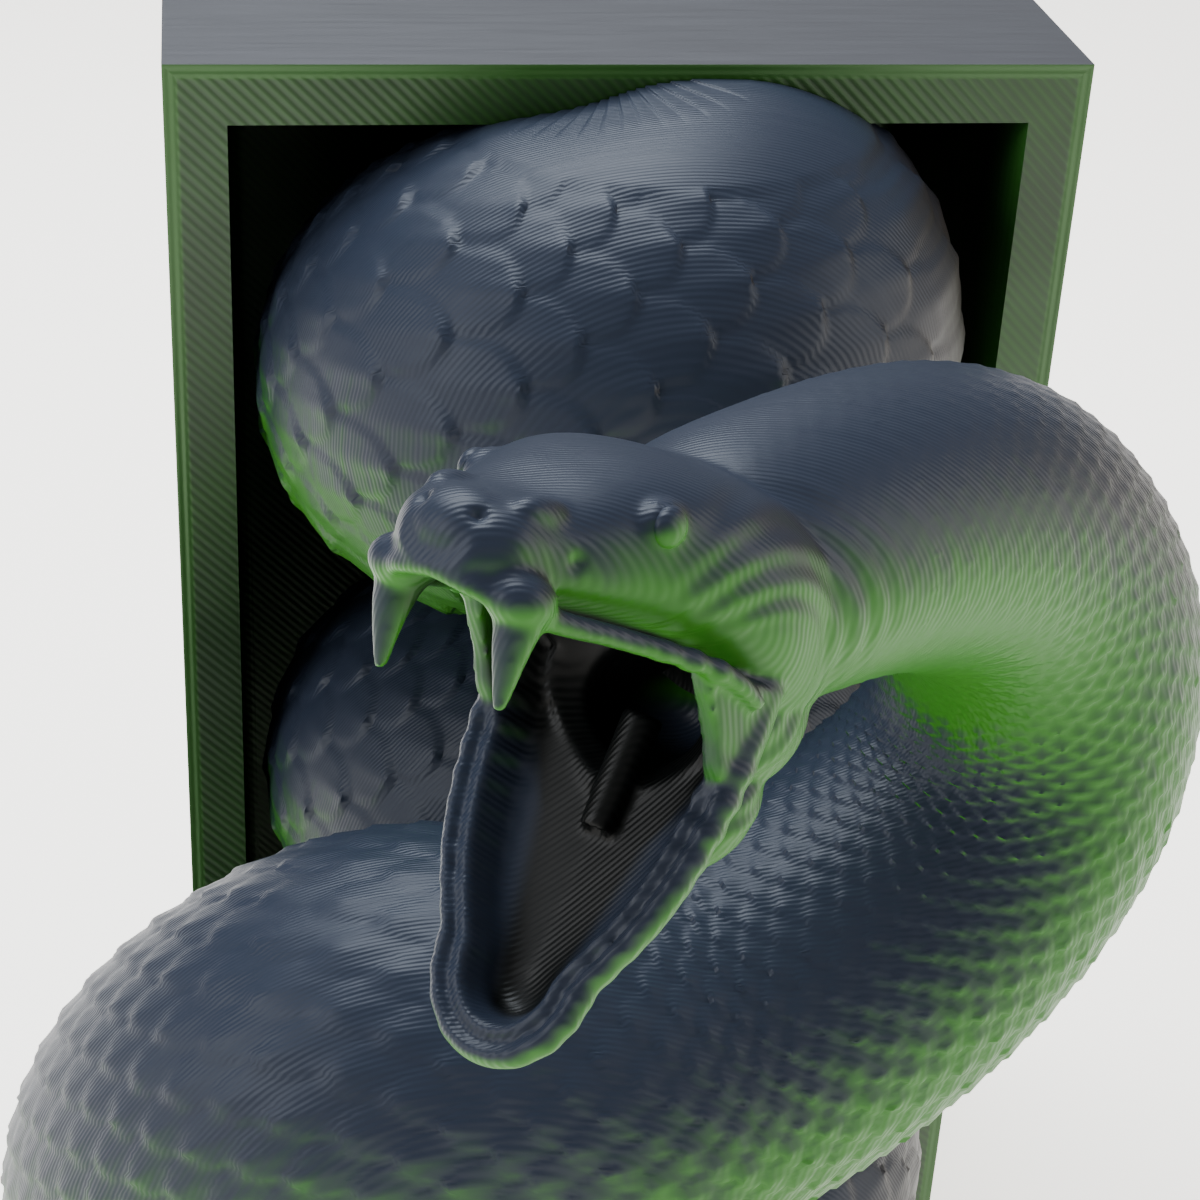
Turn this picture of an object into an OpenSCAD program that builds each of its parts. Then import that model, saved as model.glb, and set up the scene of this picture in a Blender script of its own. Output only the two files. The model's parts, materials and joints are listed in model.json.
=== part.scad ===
// Twisty snake puzzle: a snake coiled in an open-fronted tower.
// The top coil is held in the tower, the two below turn on a hidden axle, and the head end swings on a swivel.
// Frame: origin at the middle of the tower's underside, +Z up, the open front towards -Y.

/* [Tower] */
// Outer width of the tower
tower_w = 50; // [48:1:56]
// Depth of the tower, front face to back face
tower_d = 30; // [30:1:44]
// Height of the tower
tower_h = 88; // [88:1:96]
// Thickness of every wall
wall = 3.3; // [3.3:0.1:3.6]
// Radius of the upright inside corners
corner_r = 1.2; // [0.6:0.2:2]

/* [Coils] */
// Radius of the body inside the tower
body_r = 13.2; // [12.6:0.1:13.2]
// Radius of the coil's centreline about the axle
coil_r = 6.4; // [5.8:0.1:6.4]
// Height from one coil to the next
coil_pitch = 26.5; // [26.5:0.1:27]
// Level of the top coil's middle under the tower's top
top_level = 17.7; // [17.7:0.1:18]
// How much higher each coil stands at its right than at its front
coil_rise = 1.3; // [0.8:0.1:1.3]
// Gap between two coils, and between the two halves of the swivel
seam = 0.3; // [0.3:0.05:0.4]

/* [Axle] */
// Axle diameter
axle_d = 3; // [2.8:0.1:3]
// Sideways place of the axle
axle_x = -0.8; // [-1:0.1:0]
// Distance of the axle behind the tower's front face
axle_back = 3.25; // [3.2:0.05:3.6]
// Washer diameter
washer_d = 8; // [7:0.5:8]
// Washer thickness
washer_t = 0.6; // [0.5:0.1:0.7]

/* [Swivel] */
// Diameter of the swivel pin
pin_d = 8; // [7:0.5:9]
// Radial clearance of a turning fit
run_fit = 0.06; // [0.04:0.01:0.1]

/* [Head] */
// Length of the head, jaw joint to snout
head_len = 16; // [15:0.5:17]
// How far the lower jaw hangs open
gape = 83; // [75:1:88]

/* [Hidden] */
$fn = 96;

printed_dark = [0.16, 0.19, 0.19];
printed_green = [0.2, 0.42, 0.17];
steel = [0.72, 0.73, 0.75];
nylon = [0.93, 0.92, 0.88];
rubber = [0.08, 0.08, 0.08];

// Points are given from the middle of the top edge of the tower's front face
top_front = [0, -tower_d / 2, tower_h];
axle_at = [axle_x, axle_back - tower_d / 2, 0];
plug_d = 5;
plug_t = 1.2;
socket_depth = 2.3;    // how far the axle runs up into the tower's top
dowel_d = 2;
dowel_len = 6;
dowel_rise = 2;        // how far the dowel runs up into the tower's top
dowel_at = axle_at + [6, 4, tower_h - wall + dowel_rise - dowel_len];
play = 0.1;            // end play of the axle and the washers
over = 1;              // how far a cutter runs past what it cuts
bore_d = axle_d + 2 * run_fit;
coil_steps = 60;       // points round a coil
coil_rows = 18;        // levels up a coil
hub_r = 6;             // least radius of a coil about its axle
rim_ease = 0.8;        // how far a coil's upper and lower rims draw in
sweep_sides = 28;

// Heights of the coils' middles and of the cuts between them, from the tower's underside
function coil_mid(k) = tower_h - top_level - k * coil_pitch;
function cut_above(k) = coil_mid(k) + coil_pitch / 2;

// Level of the body above its coil's middle, t turns from the front
function climb(t) = coil_rise * sin(360 * t) + coil_pitch * pow(abs(2 * t), 5) / 2 * sign(t);
function body_level(t) = coil_pitch * round(t) + climb(t - round(t));
function on_coil(t, z, r) = [coil_r * sin(360 * t), -coil_r * cos(360 * t), z, r];

// Centreline of the body about the axle: [x, y, z, radius], z from the coil's middle
middle_line = [for (i = [-16 : 16]) on_coil(i / 20, body_level(i / 20), body_r)];

// The top coil swells and climbs at the front, over the tower's top bar, and tapers into the tail
crest_lift = 2.6;
crest_swell = 1;
tail_taper = 12;
function rise(low, high, t) =
    let (s = min(1, max(0, (t - low) / (high - low))))
    s * s * (3 - 2 * s);
function crest(t) = rise(-0.22, 0, t);
function top_z(t) = crest_lift * crest(t) + (t < 0 ? body_level(t) : coil_rise * sin(min(90, 360 * t)));
function top_r(t) = body_r + crest_swell * crest(t) - tail_taper * max(0, t - 0.16);
top_line = [for (i = [-16 : 15]) on_coil(i / 20, top_z(i / 20), top_r(i / 20))];

// The lowest coil comes round from the back and leaves through the front, heading left
swivel_at = [-3.5, -12.5, -74.6];
lower_mid = top_level + 2 * coil_pitch;
lower_points = [
    [8.2, -0.8, -69.6, body_r],
    [7.2, -7.6, -71.8, body_r],
    [2.6, -11.8, -73.8, body_r],
    [-3.5, -12.5, -74.6, body_r],
    [-9, -12.5, -74.6, body_r]];
lower_line = smooth(concat(
    [for (i = [14 : -1 : 8]) on_coil(i / 20, body_level(i / 20), body_r)],
    [for (p = lower_points) [p[0] - axle_x, p[1] - axle_back, p[2] + lower_mid, p[3]]]), 5);

// Reach of a ball's level slice from the axle, in direction [u, v]
function slice_reach(p, u, v, z) =
    let (s = p[3] * p[3] - pow(z - p[2], 2))
    let (b = p[0] * u + p[1] * v)
    let (q = b * b - p[0] * p[0] - p[1] * p[1] + s)
    (s > 0 && q > 0) ? b + sqrt(q) : 0;

// A body wound about the axle, between two levels, as rings round the axle, with its two rims eased
// and a hub that reaches up to hub_top
module wound(line, low, high, rows = coil_rows, hub_top = tower_h) {
    ring = [for (j = [0 : coil_steps - 1]) [cos(360 * j / coil_steps), sin(360 * j / coil_steps)]];
    levels = [for (i = [0 : rows]) low + (high - low) * i / rows];
    points = [for (z = levels, d = ring)
        let (reach = max(z > hub_top ? axle_d / 2 : hub_r, max([for (p = line) slice_reach(p, d[0], d[1], z)])))
        let (eased = reach - (z == levels[0] || z == levels[rows] ? rim_ease : 0))
        [eased * d[0], eased * d[1], z]];
    tube_skin(points, rows, coil_steps);
}

// Closed skin over rows + 1 rings of n points each
module tube_skin(points, rows, n) {
    sides = [for (i = [0 : rows - 1], j = [0 : n - 1])
        let (a = i * n + j)
        let (b = i * n + (j + 1) % n)
        each [[a, a + n, b], [b, a + n, b + n]]];
    bottom = [[for (j = [0 : n - 1]) j]];
    top = [[for (j = [n - 1 : -1 : 0]) rows * n + j]];
    polyhedron(points, concat(sides, bottom, top), convexity = 10);
}

// ---- vector help
function unit(v) = v / norm(v);
function xyz(p) = [p[0], p[1], p[2]];

// Smooth curve through rows of numbers, n steps between two rows
function blend4(a, b, c, d, t) =
    (2 * b + (c - a) * t + (2 * a - 5 * b + 4 * c - d) * t * t + (3 * b - a - 3 * c + d) * t * t * t) / 2;
function smooth(rows, n) =
    let (m = len(rows) - 1)
    let (ext = concat([2 * rows[0] - rows[1]], rows, [2 * rows[m] - rows[m - 1]]))
    concat([for (i = [0 : m - 1], j = [0 : n - 1]) blend4(ext[i], ext[i + 1], ext[i + 2], ext[i + 3], j / n)],
        [rows[m]]);

// Frames carried along a line without twisting: [side, up] for each point
function heading(line, i) = unit(xyz(line[min(i + 1, len(line) - 1)]) - xyz(line[max(i - 1, 0)]));
function square_to(v, t) = unit(v - (v * t) * t);
function carried(line, i, side) =
    let (s = square_to(side, heading(line, i)))
    i == len(line) - 1 ? [s] : concat([s], carried(line, i + 1, s));

// A tube along a line of [x, y, z, radius]
module tube(line, side) {
    sides = carried(line, 0, side);
    points = [for (i = [0 : len(line) - 1])
        let (t = heading(line, i))
        let (s = sides[i])
        let (u = cross(t, s))
        each [for (j = [0 : sweep_sides - 1])
            let (a = 360 * j / sweep_sides)
            xyz(line[i]) + line[i][3] * (cos(a) * s + sin(a) * u)]];
    tube_skin(points, len(line) - 1, sweep_sides);
}

// ---- fore body: hairpin, loop, neck and head
hairpin_top = [-32, -38.5];      // y and z of the hairpin's upper end
hairpin_reach = 18;
hairpin_r = [13.1, 11.9];
hairpin_turn = 150;
hairpin_stub = 1.2;             // straight run beside the swivel
fore_start = swivel_at - [seam, 0, 0];
function hairpin(a) =
    let (f = (1 - cos(a)) / 2)
    [fore_start[0] - hairpin_stub - hairpin_reach * sin(a), swivel_at[1] + (hairpin_top[0] - swivel_at[1]) * f,
        swivel_at[2] + (hairpin_top[1] - swivel_at[2]) * f,
        hairpin_r[0] + (hairpin_r[1] - hairpin_r[0]) * a / hairpin_turn];
// The loop in front, and the neck: x, y, z, radius
loop_points = [
    [-6.2, -31.3, -40.9, 11.3],
    [0.6, -30, -39.9, 10.5],
    [7, -28.8, -37.1, 9.8],
    [12.4, -27.4, -33.4, 9.2],
    [16.2, -26.4, -28.6, 8.5],
    [17.2, -26.2, -23.2, 8.1],
    [16.3, -27, -18.4, 7.7],
    [13.6, -29, -13.8, 7.3],
    [10.3, -31.8, -10.6, 7],
    [6.2, -35.2, -8.5, 6.7],
    [2, -38.8, -7.3, 6.3],
    [-1.8, -41.8, -6.9, 6.1],
    [-5.3, -44.2, -6.6, 6]];
fore_line = concat([concat(fore_start, hairpin_r[0])], [for (a = [0 : 10 : hairpin_turn]) hairpin(a)],
    smooth(loop_points, 2));

// Head axes: forward, towards the viewer's right, and up
head_at = [-5.3, -44, -7.3];
head_fwd = unit([-0.62, -0.56, 0.55]);
head_side = square_to([0.7, -0.71, 0.08], head_fwd);
head_up = cross(head_fwd, head_side);
function in_head(p) = head_at + head_len * (p[0] * head_fwd + p[1] * head_side + p[2] * head_up);
jaw_drop = 0.12;                // how far the jaw's hinge lies below the head's middle
function in_jaw(p) =
    in_head([p[0] * cos(gape) + p[2] * sin(gape), p[1], -p[0] * sin(gape) + p[2] * cos(gape) - jaw_drop]);

// Skull sections: forward, half width, top, bottom, as parts of the head's length
skull_rows = [
    [-0.42, 0.26, 0.22, -0.3],
    [-0.2, 0.37, 0.31, -0.34],
    [0, 0.42, 0.31, -0.28],
    [0.2, 0.41, 0.28, -0.16],
    [0.4, 0.35, 0.27, -0.12],
    [0.6, 0.28, 0.25, -0.13],
    [0.78, 0.22, 0.16, -0.14],
    [0.93, 0.18, 0.1, -0.14],
    [1.01, 0.1, 0.03, -0.1]];
// Lower jaw sections: along the jaw, half width, inner level, outer level
jaw_rows = [
    [-0.16, 0.3, 0.06, -0.2],
    [0, 0.39, 0.06, -0.2],
    [0.3, 0.36, 0.05, -0.17],
    [0.6, 0.28, 0.04, -0.14],
    [0.85, 0.19, 0.04, -0.1],
    [1, 0.12, 0.03, -0.07],
    [1.07, 0.05, 0.01, -0.04]];
head_sides = 24;
// Rounded box section: squarer than an ellipse
squareness = 0.8;
function squarer(a) = sign(a) * pow(abs(a), squareness);
function section(row, j) =
    let (a = 360 * j / head_sides)
    [row[0], row[1] * squarer(cos(a)),
        (row[2] + row[3]) / 2 + (row[2] - row[3]) / 2 * squarer(sin(a))];

module skull() {
    rows = smooth(skull_rows, 2);
    points = [for (row = rows, j = [0 : head_sides - 1]) in_head(section(row, j))];
    tube_skin(points, len(rows) - 1, head_sides);
}

module lower_jaw() {
    rows = smooth(jaw_rows, 2);
    points = [for (row = rows, j = [0 : head_sides - 1]) in_jaw(section(row, j))];
    tube_skin(points, len(rows) - 1, head_sides);
}

// Fang: root and tip in the head's own measures
fang_rows = [[0.86, -0.06, 0.075], [0.86, -0.16, 0.07], [0.85, -0.27, 0.045], [0.82, -0.42, 0.012]];
fang_gap = 0.17;
module fang(side) {
    line = [for (row = fang_rows) concat(in_head([row[0], side * fang_gap, row[1]]), row[2] * head_len)];
    tube(line, head_fwd);
}

// ---- tower pieces
module inner_outline() {
    w = tower_w - 2 * wall;
    d = tower_d - wall;
    translate([-w / 2, -tower_d / 2 - over]) square([w, d + over - corner_r]);
    translate([-w / 2 + corner_r, -tower_d / 2]) square([w - 2 * corner_r, d]);
    for (s = [-1, 1])
        translate([s * (w / 2 - corner_r), tower_d / 2 - wall - corner_r]) circle(corner_r);
}

module box_shell() {
    color(printed_green)
    difference() {
        translate([-tower_w / 2, -tower_d / 2, 0]) cube([tower_w, tower_d, tower_h]);
        translate([0, 0, wall]) linear_extrude(tower_h - 2 * wall) inner_outline();
        translate(axle_at - [0, 0, over]) cylinder(d = bore_d, h = tower_h - wall + socket_depth + over);
        translate(axle_at - [0, 0, over]) cylinder(d = plug_d + play, h = plug_t + over + play);
        translate(dowel_at) cylinder(d = dowel_d, h = dowel_len);
    }
}

module axle() {
    color(steel)
    translate(axle_at + [0, 0, plug_t + 2 * play])
        cylinder(d = axle_d, h = tower_h - wall + socket_depth - plug_t - 4 * play);
}

module axle_plug() {
    color(printed_green)
    translate(axle_at) cylinder(d = plug_d, h = plug_t);
}

module ring(outer, inner, h) {
    difference() {
        cylinder(d = outer, h = h);
        translate([0, 0, -over]) cylinder(d = inner, h = h + 2 * over);
    }
}

lower_foot = 5.4;                  // level of the flat under the lowest coil
wave_t = 0.35;
wave_room = 0.05;
wave_lift = (lower_foot - wall - wave_t) / 2 - wave_room;

module coil_washers() {
    color(nylon)
    for (z = [cut_above(1), cut_above(2)])
        translate(axle_at + [0, 0, z - washer_t / 2]) ring(washer_d, bore_d, washer_t);
}

// Springy washer with three waves, which loads the stack of coils
waves = 3;
wave_in = bore_d / 2 + 0.3;
function wave_ring(a) =
    let (z = wave_lift * sin(waves * a))
    [for (c = [[wave_in, 0], [washer_d / 2, 0], [washer_d / 2, wave_t], [wave_in, wave_t]])
        [c[0] * cos(a), c[0] * sin(a), c[1] + z]];
wave_steps = 60;
module wave_washer() {
    points = [for (i = [0 : wave_steps - 1]) each wave_ring(360 * i / wave_steps)];
    faces = [for (i = [0 : wave_steps - 1], j = [0 : 3])
        let (a = 4 * i + j)
        let (b = 4 * i + (j + 1) % 4)
        let (c = (a + 4) % (4 * wave_steps))
        let (d = (b + 4) % (4 * wave_steps))
        each [[a, c, b], [b, c, d]]];
    color(steel)
    translate(axle_at + [0, 0, (wall + lower_foot - wave_t) / 2]) polyhedron(points, faces, convexity = 6);
}

// ---- snake pieces
module washer_pocket(z) {
    room = washer_t + play;
    translate([0, 0, z - room / 2]) cylinder(d = washer_d + 3 * play, h = room);
}

// Held under the tower's top, with its crest just in front of the top bar
crest_top = 0.5;
bar_gap = 0.2;
module top_coil() {
    color(printed_dark)
    difference() {
        translate(axle_at + [0, 0, coil_mid(0)])
            wound(top_line, -coil_pitch / 2 + seam / 2, top_level + crest_top, 24, top_level - wall);
        translate([-tower_w, -tower_d / 2 - bar_gap, tower_h - wall]) cube([2 * tower_w, tower_d, 2 * wall]);
        translate(axle_at) cylinder(d = bore_d, h = tower_h);
        translate(axle_at) washer_pocket(cut_above(1));
        translate(dowel_at) cylinder(d = dowel_d, h = dowel_len);
    }
}

// Dowel that keeps the top coil from turning with the others
module anchor_dowel() {
    color(steel)
    translate(dowel_at) cylinder(d = dowel_d, h = dowel_len);
}

module middle_coil() {
    color(printed_dark)
    translate(axle_at)
    difference() {
        translate([0, 0, coil_mid(1)])
            wound(middle_line, -coil_pitch / 2 + seam / 2, coil_pitch / 2 - seam / 2);
        cylinder(d = bore_d, h = tower_h);
        washer_pocket(cut_above(1));
        washer_pocket(cut_above(2));
    }
}

pin_half = 8;
swing_room = [30, 20, 20];      // room beside the lowest coil that the head end turns in
module along_x(p) {
    translate(top_front + p) rotate([0, 90, 0]) children();
}

module lower_coil() {
    color(printed_dark)
    difference() {
        translate(axle_at + [0, 0, coil_mid(2)])
            wound(lower_line, lower_foot - coil_mid(2), coil_pitch / 2 - seam / 2, 20);
        translate(axle_at) cylinder(d = bore_d, h = tower_h);
        translate(axle_at) washer_pocket(cut_above(2));
        translate(top_front + swivel_at - swing_room) cube([swing_room[0], 33.4, 37]);
        along_x(swivel_at - [over, 0, 0]) cylinder(d = pin_d, h = pin_half + over);
    }
}

clip_at = -5.5;
clip_t = 1;
clip_grip = 0.8;        // depth of the clip's groove
o_ring_at = -2.4;
o_ring_cord = 1;
o_ring_groove = 1.2;
module swivel_pin() {
    color(printed_green)
    along_x(swivel_at)
    difference() {
        translate([0, 0, -pin_half]) cylinder(d = pin_d, h = 2 * pin_half);
        translate([0, 0, clip_at - clip_t / 2]) ring(pin_d + over, pin_d - 2 * clip_grip, clip_t);
        translate([0, 0, o_ring_at - o_ring_groove / 2])
            ring(pin_d + over, pin_d - 2 * o_ring_cord, o_ring_groove);
    }
}

module pin_o_ring() {
    color(rubber)
    along_x(swivel_at + [o_ring_at, 0, 0])
        rotate_extrude() translate([(pin_d - o_ring_cord + run_fit) / 2, 0]) circle(d = o_ring_cord);
}

module pin_clip() {
    color(steel)
    along_x(swivel_at + [clip_at, 0, 0])
    difference() {
        translate([0, 0, play - clip_t / 2])
            ring(pin_d + 2 * clip_grip - 2 * play, pin_d - 2 * clip_grip + play, clip_t - 2 * play);
        translate([0, -over, -clip_t]) cube([pin_d, 2 * over, 2 * clip_t]);
    }
}

module fore_body() {
    color(printed_dark)
    difference() {
        union() {
            translate(top_front) tube(fore_line, [0, 1, 0]);
            translate(top_front) skull();
            translate(top_front) lower_jaw();
            translate(top_front) fang(-1);
            translate(top_front) fang(1);
        }
        along_x(swivel_at - [pin_half + seam, 0, 0]) cylinder(d = pin_d + 2 * run_fit, h = pin_half + over);
        along_x(swivel_at + [clip_at - clip_t / 2, 0, 0]) cylinder(d = pin_d + 2 * clip_grip, h = clip_t);
    }
}

box_shell();
axle();
axle_plug();
anchor_dowel();
coil_washers();
wave_washer();
top_coil();
middle_coil();
lower_coil();
swivel_pin();
pin_o_ring();
pin_clip();
fore_body();
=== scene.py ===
"""Twisty snake puzzle: a scaled snake coiled in a tall open-fronted tower, head out and jaws agape.

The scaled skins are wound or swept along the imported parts' centrelines, with the scales as geometry. The head
end's bends are evened out a little, and the crest stands a little lower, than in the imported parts.
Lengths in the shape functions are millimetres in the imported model's frame: +Z up, open front towards -Y.
"""

import json
import math

import bmesh
import bpy
import numpy as np
from mathutils import Matrix, Vector


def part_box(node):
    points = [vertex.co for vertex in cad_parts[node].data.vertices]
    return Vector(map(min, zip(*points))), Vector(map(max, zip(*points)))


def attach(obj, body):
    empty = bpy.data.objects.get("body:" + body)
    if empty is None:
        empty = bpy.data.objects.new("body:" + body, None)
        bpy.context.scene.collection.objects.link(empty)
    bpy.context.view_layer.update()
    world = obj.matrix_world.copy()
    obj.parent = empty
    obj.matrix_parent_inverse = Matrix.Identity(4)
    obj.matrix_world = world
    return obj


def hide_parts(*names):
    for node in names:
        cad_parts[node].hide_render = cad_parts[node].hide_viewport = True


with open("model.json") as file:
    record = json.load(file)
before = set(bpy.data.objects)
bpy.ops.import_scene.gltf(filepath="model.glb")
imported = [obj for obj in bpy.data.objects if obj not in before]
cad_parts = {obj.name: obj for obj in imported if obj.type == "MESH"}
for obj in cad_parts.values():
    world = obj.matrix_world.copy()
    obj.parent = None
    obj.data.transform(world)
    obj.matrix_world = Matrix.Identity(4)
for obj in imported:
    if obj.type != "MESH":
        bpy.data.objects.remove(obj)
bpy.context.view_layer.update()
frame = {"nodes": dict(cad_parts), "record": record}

MM = 0.001
TAU = 2 * math.pi


def box_mm(node):
    """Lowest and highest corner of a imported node, in millimetres."""
    low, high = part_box(node)
    return np.array(low) / MM, np.array(high) / MM


# ---- sizes, from the frame ----------------------------------------------------------------
TOWER_LOW, TOWER_HIGH = box_mm("box_shell")
TOWER_W = TOWER_HIGH[0] - TOWER_LOW[0]
TOP_FRONT = np.array([0, TOWER_LOW[1], TOWER_HIGH[2]])  # middle of the front face's top edge
AXLE_LOW, AXLE_HIGH = box_mm("axle")
AXLE = (AXLE_LOW + AXLE_HIGH)[:2] / 2
AXLE_R = (AXLE_HIGH - AXLE_LOW)[0] / 2
WASHER_LOW, WASHER_HIGH = box_mm("coil_washers")
WASHER_R = (WASHER_HIGH - WASHER_LOW)[0] / 2
PIN_LOW, PIN_HIGH = box_mm("swivel_pin")
PIN_AT = (PIN_LOW + PIN_HIGH) / 2
PIN_R = (PIN_HIGH - PIN_LOW)[2] / 2
CLIP_LOW, CLIP_HIGH = box_mm("pin_clip")
DOWEL_LOW, DOWEL_HIGH = box_mm("anchor_dowel")

# ---- sizes that the frame doesn't hold, as in the parts' own design unless a note says so ---
WALL = 3.3
BODY_R = 13.2
COIL_R = 6.4
COIL_PITCH = 26.5
TOP_LEVEL = 17.7
COIL_RISE = 1.3
SEAM = 0.3
RUN_FIT = 0.06
PLAY = 0.1
WASHER_T = 0.6
HUB_R = 6
RIM_EASE = 0.8
CREST_LIFT = 1.7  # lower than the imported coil, whose crest stands a little higher than the one seen
CREST_SWELL = 1
CREST_TOP = 0.5
BAR_GAP = 0.2
HEAD_LEN = 16
GAPE = math.radians(83)

# ---- scales -------------------------------------------------------------------------------
COIL_SCALES = 18  # scales round the body in the tower
FORE_SCALES = 26  # scales round the head end
COIL_ROW = 0.24  # row spacing along the coils' centreline as a share of a scale's width
FORE_ROW = 0.46  # the same for the head end
ROOT = 0.4  # height of a scale's root, as a share of its free edge
KEEL = 0.25  # height of the ridge along a scale's middle, as a share of its free edge
SUNK = 0.9  # share of a coil scale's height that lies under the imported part's surface
RELIEF = 0.125  # height of a scale's free edge as a share of its width
FORE_RELIEF = 0.16  # the same for the head end
NECK_LAP = 18  # length of the neck that is modelled with the head, millimetres from its inner end
BODY_STOP = 8  # how far from that end the body's own tube stops
NECK_DIVE = 0.6  # how far one of two joined tubes dips under the other behind the head
EVEN_OVER = 7  # millimetres over which the head end's bends are evened out
MESH_STEP = 0.3  # millimetres between the skins' points
ROD_SIDES = 96


# ---- number work ---------------------------------------------------------------------------
def unit(v):
    return np.asarray(v, float) / np.linalg.norm(v)


def square_to(v, t):
    """The part of v that is square to t, as a unit vector."""
    return unit(v - np.dot(v, t) * t)


def ease(low, high, x):
    """Smooth step from 0 at low to 1 at high."""
    t = np.clip((x - low) / (high - low), 0, 1)
    return t * t * (3 - 2 * t)


def smooth_rows(rows, steps):
    """Smooth curve through rows of numbers, with so many steps between two rows."""
    rows = np.asarray(rows, float)
    ext = np.vstack([2 * rows[0] - rows[1], rows, 2 * rows[-1] - rows[-2]])
    t = (np.arange(steps) / steps)[:, None]
    spans = [
        (2 * b + (c - a) * t + (2 * a - 5 * b + 4 * c - d) * t**2 + (3 * b - a - 3 * c + d) * t**3) / 2
        for a, b, c, d in zip(ext, ext[1:], ext[2:], ext[3:])
    ]
    return np.vstack([*spans, rows[-1:]])


def even_steps(line, step):
    """The same line of [x, y, z, radius] with points a step apart."""
    along = np.concatenate([[0], np.cumsum(np.linalg.norm(np.diff(line[:, :3], axis=0), axis=1))])
    at = np.linspace(0, along[-1], max(2, int(along[-1] / step)) + 1)
    return np.stack([np.interp(at, along, column) for column in line.T], 1)


def carried_frames(line, side):
    """Tangent, side and up at each point of a line, carried along without twisting."""
    tangents = np.gradient(line[:, :3], axis=0)
    tangents /= np.linalg.norm(tangents, axis=1)[:, None]
    sides = []
    for t in tangents:
        side = square_to(np.asarray(side, float), t)
        sides.append(side)
    sides = np.array(sides)
    return tangents, sides, np.cross(tangents, sides)


def scale_height(rows, around):
    """Height of overlapping scales, as a share of a free edge's. rows counts rows towards the tail, and
    around counts scales round the body. Each plate is two rows long and rises to a round free edge."""
    row = np.floor(rows)
    share = (rows - row) / 2

    def across(index):
        return 2 * np.abs((around + 0.5 * (index % 2)) % 1 - 0.5)

    def plate(u, v):
        return ROOT + (1 - ROOT) * u * (0.85 - 0.2 * v * v) + KEEL * u * u * ease(0.4, 0, v)

    older, v_old = share + 0.5, across(row - 1)
    width = np.sqrt(np.clip(1 - (2 * older - 1) ** 2.4, 0, 1))
    cover = ease(0, 0.14, width - v_old)
    return plate(share, across(row)) * (1 - cover) + plate(older, v_old) * cover


# ---- meshes --------------------------------------------------------------------------------
def new_object(name, points, faces):
    mesh = bpy.data.meshes.new(name)
    mesh.from_pydata((np.asarray(points) * MM).tolist(), [], faces)
    mesh.update()
    made = bpy.data.objects.new(name, mesh)
    bpy.context.scene.collection.objects.link(made)
    return made


def grid_faces(rows, count):
    """Quads over rows of points, closed round each row, with a cap at both ends."""
    i, j = np.meshgrid(np.arange(rows - 1), np.arange(count), indexing="ij")
    a, b = i * count + j, i * count + (j + 1) % count
    quads = np.stack([a, b, b + count, a + count], -1).reshape(-1, 4).tolist()
    return [*quads, list(range(count))[::-1], list(range((rows - 1) * count, rows * count))]


def skin(name, rings):
    """Closed object over rings of points, shape (rings, points, 3)."""
    made = new_object(name, rings.reshape(-1, 3), grid_faces(*rings.shape[:2]))
    work = bmesh.new()
    work.from_mesh(made.data)
    bmesh.ops.recalc_face_normals(work, faces=work.faces)
    work.to_mesh(made.data)
    work.free()
    return made


def drop(obj):
    mesh = obj.data
    bpy.data.objects.remove(obj)
    bpy.data.meshes.remove(mesh)


def apply_modifiers(obj):
    graph = bpy.context.evaluated_depsgraph_get()
    result = bpy.data.meshes.new_from_object(obj.evaluated_get(graph))
    old = obj.data
    obj.modifiers.clear()
    obj.data = result
    bpy.data.meshes.remove(old)
    return obj


def combine(obj, other, operation):
    """Adds the other closed object to this one, or cuts it away, and removes it."""
    step = obj.modifiers.new(operation, "BOOLEAN")
    step.operation = operation
    step.object = other
    step.solver = "MANIFOLD"
    apply_modifiers(obj)
    drop(other)
    return obj


def rod(radius, low, high, axis="z", at=(0, 0)):
    """Round cutter from low to high along Z through (x, y), or along X through (y, z)."""
    angle = np.arange(ROD_SIDES) * TAU / ROD_SIDES
    circle = np.stack([at[0] + radius * np.cos(angle), at[1] + radius * np.sin(angle)], 1)
    rings = [np.insert(circle, 2 if axis == "z" else 0, level, axis=1) for level in (low, high)]
    return skin("cutter", np.array(rings))


def block(low, high):
    x0, y0, z0 = low
    x1, y1, z1 = high
    rings = [[(x0, y0, z), (x1, y0, z), (x1, y1, z), (x0, y1, z)] for z in (z0, z1)]
    return skin("cutter", np.array(rings, float))


def finish_mesh(obj, material, sharp=50):
    """Smooth shading with edges over so many degrees left sharp, and the material."""
    obj.data.shade_smooth()
    obj.data.set_sharp_from_angle(angle=math.radians(sharp))
    obj.data.materials.clear()
    obj.data.materials.append(material)
    return obj


# ---- the coils in the tower ----------------------------------------------------------------
SWIVEL_ROOM = np.array([30, 33.4, 37])  # room for the head end beside the lowest coil
SWIVEL_ROOM_BELOW = np.array([30, 20, 20])  # how far its low corner lies from the pin's middle
SWIVEL = (-3.5, -12.5, -74.6)  # where the lowest coil meets the head end, from the top front edge


def coil_mid(k):
    return TOWER_HIGH[2] - TOP_LEVEL - k * COIL_PITCH


def climb(t):
    """Level of the body above its coil's middle, t turns from the front."""
    return COIL_RISE * np.sin(TAU * t) + COIL_PITCH * np.abs(2 * t) ** 5 / 2 * np.sign(t)


def turns(first, last, step=0.0025):
    return np.arange(round((last - first) / step) + 1) * step + first


def on_coil(t, z, r):
    """Line of [x, y, z, radius] about the axle, from turns, levels and radii."""
    return np.stack([COIL_R * np.sin(TAU * t), -COIL_R * np.cos(TAU * t), z, r + 0 * t], 1)


def body_level(t):
    return COIL_PITCH * np.round(t) + climb(t - np.round(t))


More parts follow.
